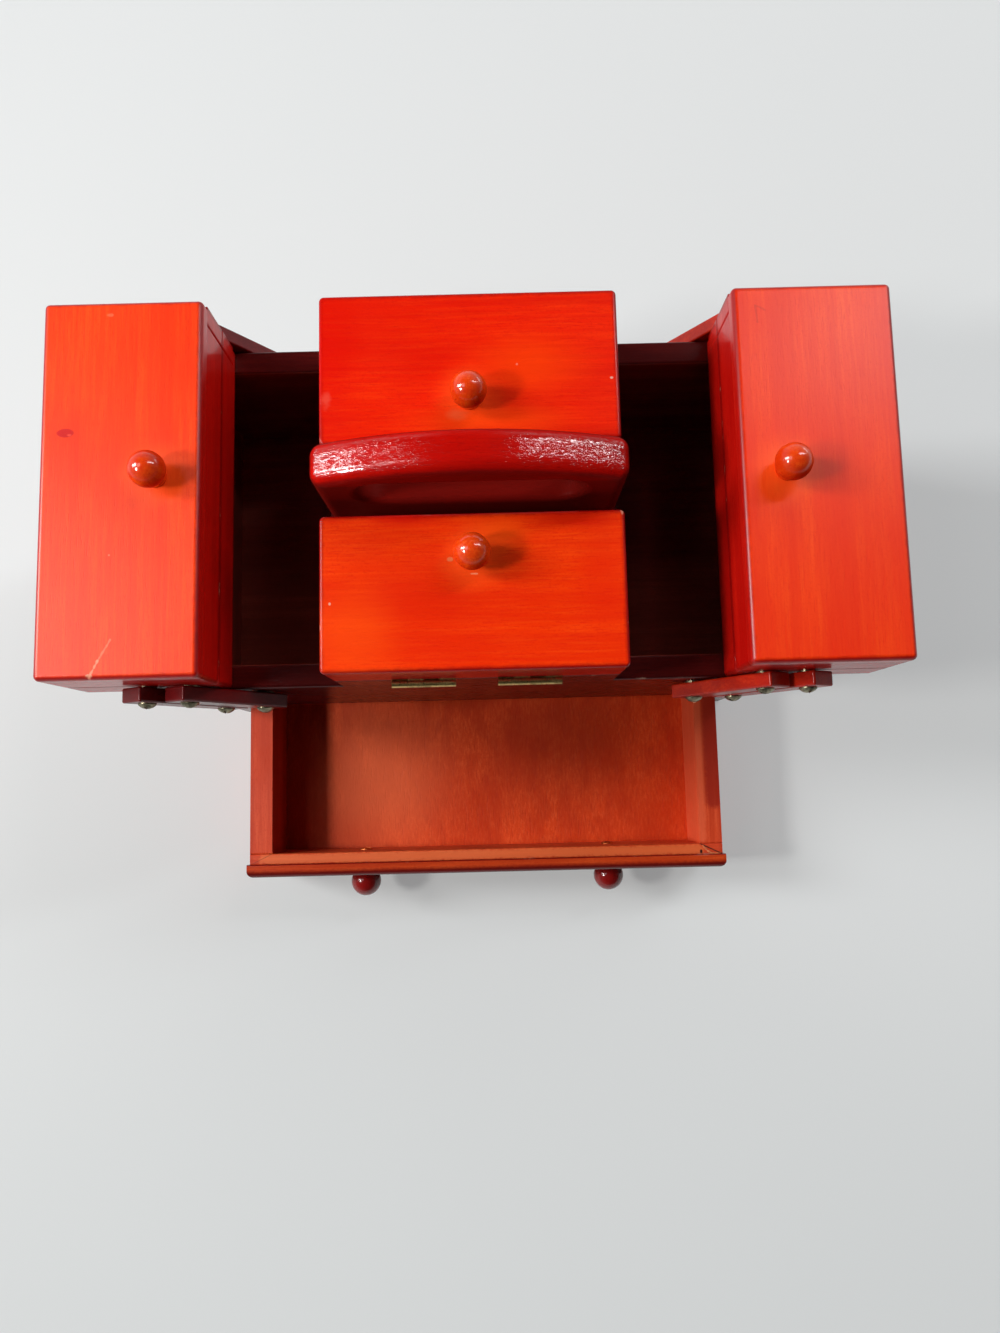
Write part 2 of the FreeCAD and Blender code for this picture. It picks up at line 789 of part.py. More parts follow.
def leaf_template(label, first_knuckle, bottom):
    """A hinge leaf: a plate let into the wood and every second knuckle of the barrel."""
    left = "-hinge_length / 2"
    pieces = [block(f"{label}_plate", left, "leaf_notch", bottom,
                    "hinge_length", "leaf_width - leaf_notch", "leaf_thickness")]
    for number in (first_knuckle, first_knuckle + 2):
        start = f"{left} + {number} * knuckle_pitch + knuckle_gap / 2"
        length = "knuckle_pitch - knuckle_gap"
        pieces.append(block(f"{label}_tongue", start, "-knuckle_radius", bottom,
                            length, "2 * knuckle_radius", "leaf_thickness"))
        pieces.append(rod(f"{label}_knuckle", "knuckle_radius", start, length))
    solid = doc.addObject("Part::MultiFuse", f"{label}_solid")
    solid.Shapes = pieces
    leaf = doc.addObject("Part::Cut", label)
    leaf.Base = solid
    leaf.Tool = rod(f"{label}_bore", "pin_radius + pin_gap", left, "hinge_length")
    return leaf


def build_hinges():
    """Two butt hinges for each lid: a leaf on the box, a leaf on the lid and a pin."""
    templates = {
        "fixed": leaf_template("hinge_fixed_leaf", 0, "-leaf_gap / 2 - leaf_thickness"),
        "moving": leaf_template("hinge_moving_leaf", 1, "leaf_gap / 2"),
        "pin": rod("hinge_pin", "pin_radius", "-hinge_length / 2", "hinge_length"),
    }
    centre_spots = [(facing, f"{sign} * hinge_offset", "0", "case_face")
                    for facing in ("front", "rear") for sign in (-1, 1)]
    hang("centre_hinge_leaves", templates["fixed"], centre_spots)
    hang("centre_hinge_pins", templates["pin"], centre_spots)
    hang("front_lid_hinge_leaves", templates["moving"], centre_spots[:2])
    hang("rear_lid_hinge_leaves", templates["moving"], centre_spots[2:])
    for name, side in SIDES.items():
        spots = [(name, f"{side} * tray_middle", f"{sign} * tray_hinge_offset", "tray_width / 2")
                 for sign in (-1, 1)]
        hang(f"{name}_tray_hinge_leaves", templates["fixed"], spots)
        hang(f"{name}_tray_hinge_pins", templates["pin"], spots)
        hang(f"{name}_lid_hinge_leaves", templates["moving"], spots)


def hang(label, template, spots):
    """Repeat a hinge piece at each spot, level with the seam."""
    pieces = []
    for facing, x, y, distance in spots:
        piece = copy_of(template, f"{label}_piece")
        stand(piece, facing, distance, x, y, "seam")
        pieces.append(piece)
    group(label, pieces)


# Drawer

def build_drawer():
    """The drawer, pulled out: a bottom, a box front, two sides, a back, a framed face panel and two knobs."""
    bottom = keep(panel("drawer_bottom", "drawer_width", "drawer_box_length", "drawer_floor",
                        "0", "drawer_box_length / 2 - drawer_box_face", "drawer_bottom"))
    ease(bottom, "edge_ease", on_bottom)
    face = keep(wall("drawer_face_panel", "front", "panel_width", "drawer_panel", "drawer_height"))
    ease(face, "panel_nose", on_outside)
    ease(face, "edge_ease", on_top, on_inside)
    sketch = sketch_on(face, "XZ")
    add_rectangle(sketch, "frame_width - panel_width / 2", "panel_width / 2 - frame_width",
                  "frame_width", "drawer_height - frame_width")
    cut(face, sketch, "frame_rise")
    ease(face, "frame_ease", on_outside, on_recess)
    knob_holes = [(f"{sign} * drawer_knob_offset", "drawer_height / 2") for sign in (-1, 1)]
    drill_face(face, "tenon_radius + tenon_gap", "drawer_panel", knob_holes)
    stand(face, "front", "drawer_face", z="drawer_bottom")
    inner_width = "drawer_width - 2 * drawer_wall"
    boards = {
        "drawer_box_front": ("front", "drawer_width", "drawer_front", "drawer_box_face", "0"),
        "drawer_back": ("rear", inner_width, "drawer_wall", "drawer_back_face", "0"),
        "drawer_left_side": ("left", "drawer_side_length", "drawer_wall", "drawer_width / 2",
                             "drawer_back_face - drawer_side_length / 2"),
        "drawer_right_side": ("right", "drawer_side_length", "drawer_wall", "drawer_width / 2",
                              "drawer_back_face - drawer_side_length / 2"),
    }
    for label, (facing, length, thickness, distance, y) in boards.items():
        board = keep(wall(label, facing, length, thickness, "drawer_wall_height"))
        ease(board, "edge_ease", on_top, lengthwise)
        stand(board, facing, distance, "0", y, "drawer_wall_bottom")
    knobs = []
    for name, side in SIDES.items():
        knob = build_knob(f"drawer_{name}_knob", "drawer_knob_radius", "drawer_knob_height",
                          "drawer_panel - frame_rise")
        knob.Placement = Placement(Vector(), Rotation(Vector(1, 0, 0), 90))
        bind(knob, Placement__Base__x=f"{side} * drawer_knob_offset",
             Placement__Base__y="frame_rise - drawer_face",
             Placement__Base__z="drawer_bottom + drawer_height / 2")
        knobs.append(knob)
    group("drawer_knobs", knobs)


def on_recess(edge, whole):
    """The rim of the recess in the face panel."""
    return max(-edge.XMin, edge.XMax) < value("panel_width / 2 - frame_width") + TINY


def build_guides():
    """Two strips on the case's side walls that keep the drawer's sides straight."""
    strips = []
    for name in SIDES:
        strip = wall(f"{name}_guide", name, "guide_length", "drawer_side_gap - guide_gap", "guide_height")
        stand(strip, name, "case_inner / 2", "0", "case_face - case_wall - guide_length / 2", "base_thickness")
        strips.append(strip)
    group("drawer_guides", strips)


# Building and writing

def check():
    """Stop if any object failed or any sub-part has no valid shape."""
    doc.recompute()
    for thing in doc.Objects:
        if {"Invalid", "Error"} & set(thing.State):
            raise RuntimeError(f"{thing.Name} is {thing.State}")
    for node in nodes:
        if node.Shape.isNull() or not node.Shape.isValid() or not node.Shape.Solids:
            raise RuntimeError(f"{node.Label} has no valid shape")


def write():
    """Write each sub-part to its own file."""
    os.makedirs("parts", exist_ok=True)
    for node in nodes:
        node.Shape.exportStep(f"parts/{node.Label}.step")


def main():
    fill_sheets()
    build_case()
    build_guides()
    build_centre()
    build_handle()
    build_lids()
    build_trays()
    build_links()
    build_pivots()
    build_hinges()
    build_drawer()
    check()
    write()
    print(len(nodes), "sub-parts,", sum(len(node.Shape.Solids) for node in nodes), "solids")


main()
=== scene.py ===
import math
import random
import bmesh
import bpy
from mathutils import Matrix, Vector


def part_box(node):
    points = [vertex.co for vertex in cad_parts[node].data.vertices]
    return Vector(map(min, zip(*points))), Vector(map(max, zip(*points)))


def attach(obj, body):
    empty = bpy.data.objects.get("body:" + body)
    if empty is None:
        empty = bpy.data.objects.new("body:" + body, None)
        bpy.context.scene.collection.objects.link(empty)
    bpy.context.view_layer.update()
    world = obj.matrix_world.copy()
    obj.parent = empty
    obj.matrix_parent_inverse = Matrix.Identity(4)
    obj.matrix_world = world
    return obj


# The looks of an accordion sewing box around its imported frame. Metres, +Z up, -Y the front.

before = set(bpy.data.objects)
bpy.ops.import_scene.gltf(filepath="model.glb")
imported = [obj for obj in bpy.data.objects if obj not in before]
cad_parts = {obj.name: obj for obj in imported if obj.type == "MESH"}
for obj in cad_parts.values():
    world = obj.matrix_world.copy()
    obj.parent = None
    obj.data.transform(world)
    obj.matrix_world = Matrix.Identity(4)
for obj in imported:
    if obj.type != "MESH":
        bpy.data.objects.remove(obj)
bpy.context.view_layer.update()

MM = 0.001
PHOTO_HEIGHT = 1333  # pixels

# The camera that the photograph was taken with, solved from the box's edges.
CAMERA_PLACE = (0.0095, -0.1138, 0.5249)
CAMERA_TURN = (0.1185, 0.0037, -0.0243)
CAMERA_FOCAL = 954  # pixels
SENSOR = 36
CLIP_START = 0.01

# The axis that the wood's grain follows. The grain of a box's boards runs along each board.
ALONG_X = "x"
ALONG_Y = "y"
ALONG_Z = "z"
ALONG_BOARDS = "boards"

# The stains: their main, light and deep colour. Some are darker copies of another stain that paint shade
# onto a piece's sides or hollows.
PAINTS = {
    "tray_lid": ((0.88, 0.046, 0.002), (0.95, 0.085, 0.006), (0.76, 0.020, 0.001)),
    "rear_lid": ((0.78, 0.014, 0.001), (0.86, 0.034, 0.002), (0.64, 0.006, 0.001)),
    "front_lid": ((0.84, 0.036, 0.001), (0.90, 0.064, 0.003), (0.70, 0.014, 0.001)),
    "side": ((0.60, 0.007, 0.003), (0.70, 0.014, 0.005), (0.44, 0.003, 0.002)),
    "handle": ((0.50, 0.003, 0.001), (0.62, 0.008, 0.002), (0.30, 0.002, 0.001)),
    "knob": ((0.74, 0.050, 0.003), (0.86, 0.11, 0.010), (0.52, 0.010, 0.001)),
    # painted shade: a darker copy of the handle's paint for its sides
    "handle_shaded_side": ((0.25, 0.003, 0.002), (0.34, 0.006, 0.003), (0.16, 0.002, 0.001)),
    "drawer_knob": ((0.25, 0.006, 0.005), (0.32, 0.010, 0.007), (0.16, 0.003, 0.003)),
    "case": ((0.085, 0.005, 0.005), (0.125, 0.009, 0.007), (0.05, 0.003, 0.003)),
    # partly painted shade: a darker matt paint for hollows and the pieces within them
    "shaded_inside": ((0.30, 0.050, 0.030), (0.38, 0.070, 0.040), (0.19, 0.030, 0.018)),
    "link": ((0.54, 0.020, 0.004), (0.64, 0.044, 0.008), (0.32, 0.007, 0.004)),
    # painted shade: a darker copy of the links' paint for the left links
    "shaded_link": ((0.17, 0.006, 0.007), (0.24, 0.010, 0.010), (0.10, 0.004, 0.005)),
    "drawer": ((0.66, 0.060, 0.014), (0.80, 0.120, 0.040), (0.50, 0.034, 0.006)),
    "drawer_floor": ((0.68, 0.056, 0.008), (0.84, 0.120, 0.030), (0.50, 0.028, 0.004)),
    "panel": ((0.60, 0.060, 0.010), (0.74, 0.110, 0.022), (0.42, 0.026, 0.005)),
    # painted shade: a darker copy of the panel's paint for its sides
    "panel_shaded_face": ((0.26, 0.009, 0.004), (0.34, 0.016, 0.006), (0.16, 0.005, 0.003)),
}
BARE_WOOD = (0.72, 0.42, 0.30)
DARK_EDGE = (0.24, 0.002, 0.002)

# How brightly the surroundings light the box, and the pale backdrop that is seen in their place.
WORLD_LEFT = 0.15
WORLD_REAR = 0.30
WORLD_WALL = 0.03
WORLD_CEILING = 0.015
WORLD_COLOUR = (0.95, 0.98, 1.0)
BACKDROP = (0.76, 0.77, 0.77)

# The lamps' colours, and the lamps: name, direction of the first end and of the last end, distance,
# width, radiance, colour, and whether the lacquer mirrors the lamp.
WHITE = (1.0, 1.0, 1.0)
WARM = (1.0, 0.98, 0.95)
COOL = (0.94, 0.98, 1.0)
LAMP_LIFT = 0.15
WINDOWS = (
    ("key", (-0.75, -0.20, 0.62), (-0.66, -0.185, 0.70), 0.806, 0.11, 86, WARM, True),
    ("handle_window", (-0.90, 0.15, 0.38), (-0.66, 0.15, 0.72), 2.0, 0.40, 24, WHITE, True),
    ("haze_window", (-0.50, -0.05, 0.86), (-0.46, 0.24, 0.86), 1.3, 0.34, 3.0, WHITE, True),
    ("right_window", (0.30, 0.43, 0.86), (0.78, 0.41, 0.50), 2.0, 0.14, 18.0, COOL, True),
    ("far_right_window", (0.85, 0.50, 0.14), (0.60, 0.78, 0.14), 2.0, 0.25, 4.0, COOL, True),
    ("rear_fill", (-0.20, 0.80, 0.56), (0.72, 0.48, 0.52), 2.0, 0.70, 2.1, WHITE, False),
)

# The floor, in metres and colours. It grows darker towards the front, partly its own tone and partly painted
# shade.
FLOOR_RADIUS = 9
FLOOR_DROP = 0.2 * MM
FLOOR_FAR = (0.77, 0.79, 0.79)
FLOOR_LIGHT = (0.80, 0.81, 0.81)
FLOOR_FRONT_TONE_AND_SHADE = (0.66, 0.68, 0.68)

# Places in the frame, in millimetres.
SEAM_HEIGHT = 150
TRAY_HINGE_X = 163.7
CENTRE_HINGE_Y = 73.5
LEAF_REACH = 4.3
LEAF_SINK = 0.14
LEAF_SCREW_STEP = 8.2
TRAY_HINGE_MIDDLES = (-42, 42)
CENTRE_HINGE_MIDDLES = (-21, 21)
DRAWER_KNOB_X = 62
HANDLE_TOP = 194.6
CASE_WALL = 10
CASE_FLOOR = 8
BOX_WALL = 8
BOX_BOTTOM = 4
LID_TOP = 6


# Node trees

class Graph:
    """A node tree with short ways to add to it."""

    def __init__(self, tree):
        self.tree = tree
        self.tree.nodes.clear()

    def feed(self, socket, content):
        """Link an output to a socket, or set the socket."""
        if isinstance(content, bpy.types.NodeSocket):
            self.tree.links.new(content, socket)
        else:
            socket.default_value = content

    def node(self, kind, inputs, outlet=0, **settings):
        """Add a node, set it up and return one of its outputs."""
        node = self.tree.nodes.new(kind)
        for name, setting in settings.items():
            setattr(node, name, setting)
        for socket, content in inputs.items():
            self.feed(node.inputs[socket], content)
        return node.outputs[outlet]

    def math(self, operation, *values):
        return self.node("ShaderNodeMath", dict(enumerate(values)), operation=operation)

    def vector(self, operation, *values, outlet=0):
        return self.node("ShaderNodeVectorMath", dict(enumerate(values)), outlet, operation=operation)

    def split(self, vector):
        """The three numbers of a vector."""
        node = self.tree.nodes.new("ShaderNodeSeparateXYZ")
        self.feed(node.inputs[0], vector)
        return list(node.outputs)

    def join(self, x, y, z):
        return self.node("ShaderNodeCombineXYZ", {0: x, 1: y, 2: z})

    def mix(self, share, first, second):
        """Blend two colours, given as outputs or as red, green and blue."""
        colours = [c if isinstance(c, bpy.types.NodeSocket) else (*c, 1) for c in (first, second)]
        return self.node("ShaderNodeMix", {0: share, 6: colours[0], 7: colours[1]}, 2, data_type="RGBA")

    def ramp(self, number, start, end, low=0.0, high=1.0):
        """Rise smoothly from low at start to high at end."""
        return self.node("ShaderNodeMapRange", {0: number, 1: start, 2: end, 3: low, 4: high},
                         interpolation_type="SMOOTHSTEP")

    def noise(self, vector, detail=2.0, roughness=0.5, distortion=0.0, scale=1.0):
        return self.node("ShaderNodeTexNoise", {"Vector": vector, "Scale": scale, "Detail": detail,
                                                "Roughness": roughness, "Distortion": distortion})

    def place(self, kind="Object"):
        """Where a point lies on its piece, or which way the piece's surface faces there."""
        return self.node("ShaderNodeTexCoord", {}, kind)


def new_material(name):
    material = bpy.data.materials.new(name)
    material.use_nodes = True
    return material, Graph(material.node_tree)


def bumped(graph, bumps):
    """A normal from bumps, which are pairs of a height and its depth in metres."""
    normal = None
    for height, depth in bumps:
        inputs = {"Height": height, "Distance": depth, "Strength": 1.0}
        if normal:
            inputs["Normal"] = normal
        normal = graph.node("ShaderNodeBump", inputs)
    return normal


def finish_material(graph, colour, roughness, bumps, coat_bumps=None, **settings):
    """Put the shader on. The lacquer's coat may be smoother than what lies under it."""
    shader = graph.tree.nodes.new("ShaderNodeBsdfPrincipled")
    graph.feed(shader.inputs["Base Color"], colour)
    graph.feed(shader.inputs["Roughness"], roughness)
    graph.feed(shader.inputs["Normal"], bumped(graph, bumps))
    if coat_bumps:
        graph.feed(shader.inputs["Coat Normal"], bumped(graph, coat_bumps))
    for name, content in settings.items():
        graph.feed(shader.inputs[name.replace("_", " ")], content)
    output = graph.tree.nodes.new("ShaderNodeOutputMaterial")
    graph.feed(output.inputs["Surface"], shader.outputs[0])


# Wood

def along_grain(graph, grain):
    """The place on the piece, turned so that its first number runs along the grain."""
    place = graph.place()
    x, y, z = graph.split(place)
    turned = {ALONG_X: place, ALONG_Y: graph.join(y, x, z), ALONG_Z: graph.join(z, x, y)}
    if grain != ALONG_BOARDS:
        return turned[grain]
    facing_x, facing_y = graph.split(graph.vector("ABSOLUTE", graph.place("Normal")))[:2]
    sideways = graph.math("GREATER_THAN", facing_x, facing_y)
    return graph.node("ShaderNodeMix", {0: sideways, 4: place, 5: turned[ALONG_Y]}, 1, data_type="VECTOR")


def stretched(graph, place, length, width, seed):
    """Scale a place so that a pattern is about as long and as wide as given."""
    return graph.node("ShaderNodeMapping", {
        "Vector": place, "Location": (seed * 7.3, seed * 3.1, seed * 5.7),
        "Scale": (1 / length, 1 / width, 1 / width)})


def wood_pattern(graph, grain, seed, fibre_length=26, figure_length=220):
    """How the wood's fibres, figure, pores and stain vary over the piece, each from 0 to 1."""
    place = along_grain(graph, grain)
    fibre = graph.noise(stretched(graph, place, fibre_length * MM, 1.1 * MM, seed), detail=4, roughness=0.62)
    figure = graph.noise(stretched(graph, place, figure_length * MM, 9 * MM, seed + 1), detail=3,
                         distortion=0.5)
    pores = graph.noise(stretched(graph, place, 4.5 * MM, 0.45 * MM, seed + 2), detail=1)
    stain = graph.noise(stretched(graph, place, 60 * MM, 26 * MM, seed + 3), detail=3)
    return {
        "fibre": fibre,
        "figure": graph.ramp(figure, 0.42, 0.62),
        "pores": graph.ramp(pores, 0.56, 0.72),
        "stain": graph.ramp(stain, 0.35, 0.68),
        "speckle": graph.ramp(graph.noise(graph.place(), detail=2, scale=1000), 0.50, 0.70),
    }


def stained(graph, pattern, paint, contrast=1.0):
    """A stain's colour over the wood's pattern."""
    main, light, deep = PAINTS[paint]
    colour = graph.mix(graph.ramp(pattern["fibre"], 0.42, 0.66, 0, 0.55 * contrast), main, light)
    colour = graph.mix(graph.math("MULTIPLY", pattern["figure"], 0.50 * contrast), colour, deep)
    colour = graph.mix(graph.math("MULTIPLY", pattern["stain"], 0.50 * contrast), colour, deep)
    colour = graph.mix(graph.math("MULTIPLY", pattern["speckle"], 0.30 * contrast), colour, deep)
    return graph.mix(graph.math("MULTIPLY", pattern["pores"], 0.45 * contrast), colour, deep)


def box_distances(graph, low, high):
    """How far a point lies from each pair of a box's faces."""
    place = graph.place()
    below = graph.vector("SUBTRACT", place, tuple(low))
    above = graph.vector("SUBTRACT", tuple(high), place)
    return graph.split(graph.vector("MINIMUM", below, above))


def edge_distance(graph, low, high):
    """How far a point on a box's surface lies from the nearest edge of the box."""
    x, y, z = box_distances(graph, low, high)
    lesser = graph.math("MINIMUM", x, y)
    greater = graph.math("MAXIMUM", x, y)
    return graph.math("MAXIMUM", lesser, graph.math("MINIMUM", greater, z))


def add_edges(graph, colour, paint, low, high, dark=0.7, wear=0.5):
    """Darken the stain along a box's edges and wear some spots of them down to bare wood."""
    near = edge_distance(graph, low, high)
    ragged = graph.noise(graph.place(), detail=4, roughness=0.6, scale=260)
    shade = graph.math("MULTIPLY", graph.math("SUBTRACT", ragged, 0.5), 1.6 * MM)
    dark_near = graph.ramp(graph.math("ADD", near, shade), 2.4 * MM, 0.5 * MM)
    edge_colour = tuple(map(min, DARK_EDGE, PAINTS[paint][2]))
    colour = graph.mix(graph.math("MULTIPLY", dark_near, dark), colour, edge_colour)
    patches = graph.ramp(graph.noise(graph.place(), detail=3, roughness=0.7, scale=95), 0.60, 0.70)
    worn = graph.math("MULTIPLY", graph.ramp(graph.math("ADD", near, shade), 0.8 * MM, 0.1 * MM), patches)
    return graph.mix(graph.math("MULTIPLY", worn, wear), colour, BARE_WOOD)


def inside_box(graph, low, high, wall, bottom=0.0, top=0.0):
    """1 on the inner faces of a box with walls of one thickness, and 0 on its outer faces."""
    slack = 0.3 * MM
    x, y = box_distances(graph, low, high)[:2]
    height = graph.split(graph.place())[2]
    inner = graph.math("GREATER_THAN", graph.math("MINIMUM", x, y), wall - slack)
    over = graph.math("GREATER_THAN", height, low[2] + bottom - slack if bottom else low[2] - 1)
    under = graph.math("LESS_THAN", height, high[2] - top + slack if top else high[2] + 1)
    return graph.math("MULTIPLY", inner, graph.math("MULTIPLY", over, under))


def wood(name, grain, seed, paint, box=None, crown=None, hollow=None, marks=(), gloss=0.5,
         roughness=0.40, depth=0.02, contrast=1.0, edges=0.7, wear=0.5, coat_roughness=0.10, specular=0.03,
         ripple=0.006, fibre_length=26, figure_length=220, coat_ior=1.5, crown_slopes=(0.80, 0.985),
         coat_slopes=None, coat_grain=0.2, coat_left=None):
    """Stained and lacquered wood. Faces turned upward may have a crown's paint, over sides that on some
    pieces take a darker copy as painted shade, and hollows a matt paint that is partly painted shade.
    """
    material, graph = new_material(name)
    pattern = wood_pattern(graph, grain, seed, fibre_length, figure_length)
    colour = stained(graph, pattern, paint, contrast)
    facing_up = graph.split(graph.place("Normal"))[2]
    if crown:
        topmost = graph.ramp(facing_up, *crown_slopes)
        colour = graph.mix(topmost, colour, stained(graph, pattern, crown, contrast))
    if box:
        colour = add_edges(graph, colour, paint, *box, edges, wear)
    for mark in marks:
        colour = mark(graph, colour)
    smear = graph.noise(graph.place(), detail=3, scale=45)
    rough = graph.math("ADD", graph.ramp(smear, 0.3, 0.7, roughness - 0.05, roughness + 0.08),
                       graph.math("MULTIPLY", pattern["pores"], 0.12))
    if hollow:
        matt = inside_box(graph, *box, **hollow)
        colour = graph.mix(matt, colour, stained(graph, pattern, "shaded_inside"))
        rough = graph.math("MAXIMUM", rough, graph.math("MULTIPLY", matt, 0.62))
    peel = graph.noise(graph.place(), detail=3, scale=750)
    grooves = graph.math("SUBTRACT", graph.math("MULTIPLY", pattern["fibre"], 0.7), pattern["pores"])
    cover = graph.ramp(facing_up, *coat_slopes, 0.0, gloss) if coat_slopes else gloss
    if coat_left:
        cover = graph.math("MULTIPLY", cover, coat_left(graph))
    finish_material(graph, colour, rough, [(grooves, depth * MM)],
                    [(grooves, coat_grain * depth * MM), (peel, ripple * MM)],
                    Coat_Weight=cover, Coat_Roughness=coat_roughness, Coat_IOR=coat_ior,
                    Specular_IOR_Level=specular)
    return material


# Marks on the wood, each a function that changes a colour

def upward(graph):
    """1 on faces that look up, and 0 on the sides and underneath."""
    return graph.ramp(graph.split(graph.place("Normal"))[2], 0.3, 0.6)


def spot(x, y, reach_x, reach_y, colour, strength, ragged=0.4, core=0.5):
    """A blot round a place on an upper face."""
    def add(graph, under):
        offset = graph.vector("SUBTRACT", graph.place(), (x * MM, y * MM, 0))
        flat = graph.vector("MULTIPLY", offset, (1 / (reach_x * MM), 1 / (reach_y * MM), 0))
        away = graph.vector("LENGTH", flat, outlet="Value")
        rough = graph.noise(graph.place(), detail=3, scale=900 / max(reach_x, 1.0))
        away = graph.math("ADD", away, graph.math("MULTIPLY", graph.math("SUBTRACT", rough, 0.5), ragged))
        share = graph.math("MULTIPLY", graph.ramp(away, 1.0, core, 0, strength), upward(graph))
        return graph.mix(share, under, colour)
    return add


def streak(x0, y0, x1, y1, width, colour, strength, ragged=0.8, every_side=False):
    """A scratch, a joint's line or a band of painted light or shade between two places on an upper face, or
    on the sides under it too.
    """
    def add(graph, under):
        start = Vector((x0, y0, 0)) * MM
        run = Vector((x1, y1, 0)) * MM - start
        offset = graph.vector("MULTIPLY", graph.vector("SUBTRACT", graph.place(), tuple(start)), (1, 1, 0))
        share = graph.vector("DOT_PRODUCT", offset, tuple(run / run.length_squared), outlet="Value")
        share = graph.node("ShaderNodeClamp", {0: share})
        nearest = graph.vector("SCALE", tuple(run))
        graph.feed(nearest.node.inputs["Scale"], share)
        away = graph.vector("LENGTH", graph.vector("SUBTRACT", offset, nearest), outlet="Value")
        rough = graph.noise(graph.place(), detail=3, scale=700)
        shift = graph.math("MULTIPLY", graph.math("SUBTRACT", rough, 0.5), ragged * width * MM)
        cover = graph.ramp(graph.math("ADD", away, shift), width * MM, 0.4 * width * MM, 0, strength)
        if not every_side:
            cover = graph.math("MULTIPLY", cover, upward(graph))
        return graph.mix(cover, under, colour)
    return add


def below(height, colour, strength, fade=2):
    """Painted shade under a height."""
    def add(graph, under):
        z = graph.split(graph.place())[2]
        share = graph.ramp(z, height * MM, (height - fade) * MM, 0, strength)
        return graph.mix(share, under, colour)
    return add


# Metal

def metal(name, colour, tarnish, roughness, seed):
    """Aged brass with tarnish in blotches and fine scratches."""
    material, graph = new_material(name)
    place = graph.place()
    blotches = graph.noise(stretched(graph, place, 4 * MM, 4 * MM, seed), detail=4, roughness=0.65)
    grime = graph.noise(stretched(graph, place, 0.8 * MM, 0.8 * MM, seed + 1), detail=3)
    scratches = graph.noise(stretched(graph, place, 3 * MM, 0.12 * MM, seed + 2), detail=2)
    cover = graph.ramp(blotches, 0.38, 0.66)
    tint = graph.mix(cover, colour, tarnish)
    tint = graph.mix(graph.ramp(grime, 0.55, 0.75, 0, 0.6), tint, (0.05, 0.045, 0.03))
    rough = graph.ramp(cover, 0, 1, roughness, roughness + 0.22)
    finish_material(graph, tint, rough, [(scratches, 0.02 * MM), (grime, 0.03 * MM)],
                    Metallic=1.0, Specular_IOR_Level=0.5)
    return material


# Materials of the frame's nodes

def joined_box(*names):
    """The box round several nodes."""
    corners = [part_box(name) for name in names]
    low = Vector(map(min, *[c[0] for c in corners])) if len(corners) > 1 else corners[0][0]
    high = Vector(map(max, *[c[1] for c in corners])) if len(corners) > 1 else corners[0][1]
    return low, high


def dress(names, material):
    """Give nodes a material."""
    for name in names:
        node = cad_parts[name]
        node.data.materials.clear()
        node.data.materials.append(material)


def knob_centre(name):
    low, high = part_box(name)
    return (low + high) / 2 / MM


LID_MARKS = {
    "front": [
        streak(1, -33, 1, -34.5, 0.5, (0.85, 0.35, 0.18), 0.7),
        streak(-0.6, -37.2, 1.6, -37.2, 0.4, (0.85, 0.35, 0.18), 0.6),
        spot(-8.4, -31.5, 1.5, 1.1, (0.75, 0.25, 0.10), 0.6),
        spot(-53.5, -47.3, 0.6, 0.7, BARE_WOOD, 0.9),
        spot(-24, -15, 20, 4.5, (0.56, 0.004, 0.001), 0.75, ragged=0.7, core=0.1),
        spot(38, -17, 22, 5.5, (0.60, 0.005, 0.001), 0.65, ragged=0.7, core=0.1),
        spot(10, -22, 16, 9, (0.94, 0.085, 0.004), 0.6, core=0.1),
        spot(-46, -58, 26, 24, (0.92, 0.075, 0.003), 0.5, core=0.1),
        spot(48, -40, 14, 30, (0.72, 0.012, 0.001), 0.4, core=0.1),
        spot(56.6, -14.6, 0.8, 1.5, (0.80, 0.30, 0.18), 0.6, ragged=1.2),
    ],
    "rear": [
        spot(-5, 24.5, 6.5, 3.2, (0.62, 0.14, 0.05), 0.55, ragged=0.8, core=0.2),
        spot(18.5, 44.1, 0.6, 0.6, BARE_WOOD, 0.9),
        spot(54.5, 37.8, 0.8, 0.6, BARE_WOOD, 0.8),
        spot(-54.6, 31.6, 2.6, 4.6, (0.80, 0.16, 0.10), 0.4, ragged=1.0, core=0.2),
        spot(-58, 50, 26, 40, (0.66, 0.003, 0.001), 0.7, core=0.1),
        spot(22, 44, 34, 18, (0.88, 0.044, 0.001), 0.7, core=0.1),
        spot(8, 22, 44, 9, (0.90, 0.055, 0.002), 0.6, core=0.1),
    ],
    "left": [
        spot(-153.9, 21.1, 3.9, 1.9, (0.56, 0.004, 0.003), 1.0, core=0.75),
        spot(-152.2, 20.3, 1.2, 0.6, (0.90, 0.10, 0.06), 0.5),
        streak(-134.8, -58.8, -139.3, -66.5, 0.45, (0.95, 0.28, 0.16), 0.45, ragged=2.6),
        streak(-139.3, -66.5, -142.6, -73.0, 0.55, (0.95, 0.36, 0.22), 0.55, ragged=2.6),
        spot(-142.4, -72.0, 1.3, 1.0, (0.80, 0.40, 0.25), 0.6, ragged=1.4),
        spot(-137.9, 68.0, 1.7, 0.8, (0.95, 0.18, 0.08), 0.5, ragged=1.2),
        spot(-136.0, -26.7, 0.5, 0.5, (0.95, 0.30, 0.18), 0.5),
    ],
    "right": [
        streak(110.8, 65.5, 111.4, 58.5, 0.5, (0.60, 0.020, 0.004), 0.5, ragged=1.6),
        streak(110.8, 65.5, 114.6, 63.5, 0.5, (0.60, 0.020, 0.004), 0.4, ragged=1.6),
    ],
}


